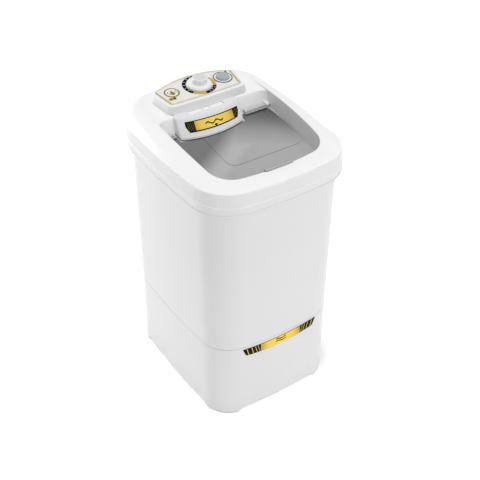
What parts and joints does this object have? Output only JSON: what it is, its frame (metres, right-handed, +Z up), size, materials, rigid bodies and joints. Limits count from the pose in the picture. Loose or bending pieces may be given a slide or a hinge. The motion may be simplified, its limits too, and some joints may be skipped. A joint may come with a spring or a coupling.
{
  "type": "top load washing machine",
  "caption": "Semi-automatic top load washer: tapered moulded body, broad rim, sunk smoked lid, raised dial console, lint filter box, tub with pulsator and belt drive.",
  "frame": {"origin": "on the floor under the middle of the top moulding's outline", "axes": "+Z up, the front faces -Y, +X to the right of someone who faces the front"},
  "size_m": [0.5466, 0.636, 1.0362],
  "materials": {
    "body_white": "smooth moulded gloss",
    "rim_white": "smooth moulded gloss",
    "tub_white": "satin moulded",
    "smoke_clear": "clear smoked moulding",
    "panel_print": "printed film",
    "scale_print": "printed film",
    "gold_print": "metallic film",
    "knob_white": "gloss",
    "cap_grey": "gloss",
    "button_grey": "satin",
    "bezel_dark": "satin",
    "mesh_fabric": "fine net on a moulded frame",
    "rubber_black": "matt",
    "rubber_grey": "matt",
    "steel": "zinc plated",
    "motor_paint": "satin enamel",
    "nylon_black": "moulded",
    "switch_body": "moulded",
    "capacitor_shell": "moulded",
    "pipe_grey": "moulded"
  },
  "bodies": {
    "machine": {"base": "body_white", "foot_pads": "rubber_black", "cabinet": "body_white", "rear_cover": "body_white", "cover_screws": "steel", "collar": "rim_white", "wash_tub": "tub_white", "splash_shield": "tub_white", "console": "rim_white", "console_screws": "steel", "control_panel": "panel_print", "dial_scale": "scale_print", "console_emblem": "gold_print", "timer_body": "switch_body", "button_bezel": "bezel_dark", "button_switch": "switch_body", "filter_housing": "rim_white", "filter_badge": "gold_print", "hinge_pin_left": "steel", "hinge_pin_right": "steel", "lid_bumpers": "rubber_grey", "shaft_seal": "rubber_black", "bearing_housing": "nylon_black", "upper_bearing": "steel", "lower_bearing": "steel", "housing_bolts": "steel", "drive_belt": "rubber_black", "motor_body": "motor_paint", "motor_bracket": "steel", "motor_bolts": "steel", "capacitor": "capacitor_shell", "capacitor_clip": "steel", "drain_pipe": "pipe_grey", "drain_gasket": "rubber_grey", "cord_gland": "rubber_black", "front_badge": "gold_print"},
    "lid": {"lid": "smoke_clear"},
    "timer_dial": {"timer_knob": "knob_white", "knob_cap": "cap_grey", "timer_shaft": "steel"},
    "start_button": {"push_button": "button_grey"},
    "lint_filter": {"filter_cassette": "rim_white", "filter_mesh": "mesh_fabric"},
    "agitator": {"pulsator": "tub_white", "pulsator_bolt": "steel", "pulsator_cap": "tub_white", "drive_shaft": "steel", "driven_pulley": "nylon_black", "pulley_nut": "steel"},
    "motor_rotor": {"motor_shaft": "steel", "motor_pulley": "nylon_black"}
  },
  "joints": [
    {"name": "lid_hinge", "type": "hinge", "parent": "machine", "child": "lid", "pos_m": [0, 0.084, 0.9276], "axis": [-1, 0, 0], "range_deg": [0, 100]},
    {"name": "timer_turn", "type": "hinge", "parent": "machine", "child": "timer_dial", "pos_m": [0.004, 0.19776, 1.00532], "axis": [0, 0.0842, -0.9964], "range_deg": [0, 300]},
    {"name": "button_press", "type": "slide", "parent": "machine", "child": "start_button", "axis": [0, 0.0842, -0.9964], "range_m": [0, 0.0035], "stiffness_N_per_m": 800, "springref_m": -0.001},
    {"name": "filter_lift", "type": "slide", "parent": "machine", "child": "lint_filter", "axis": [0, 0, 1], "range_m": [0, 0.06]},
    {"name": "agitator_spin", "type": "hinge", "parent": "machine", "child": "agitator", "pos_m": [0, 0, 0.35], "axis": [0, 0, 1], "continuous": true},
    {"name": "motor_spin", "type": "hinge", "parent": "machine", "child": "motor_rotor", "pos_m": [0, 0.185, 0.224], "axis": [0, 0, 1], "continuous": true}
  ],
  "couplings": [
    {"joint": "motor_spin", "follows": "agitator_spin", "ratio": 4.3333}
  ]
}
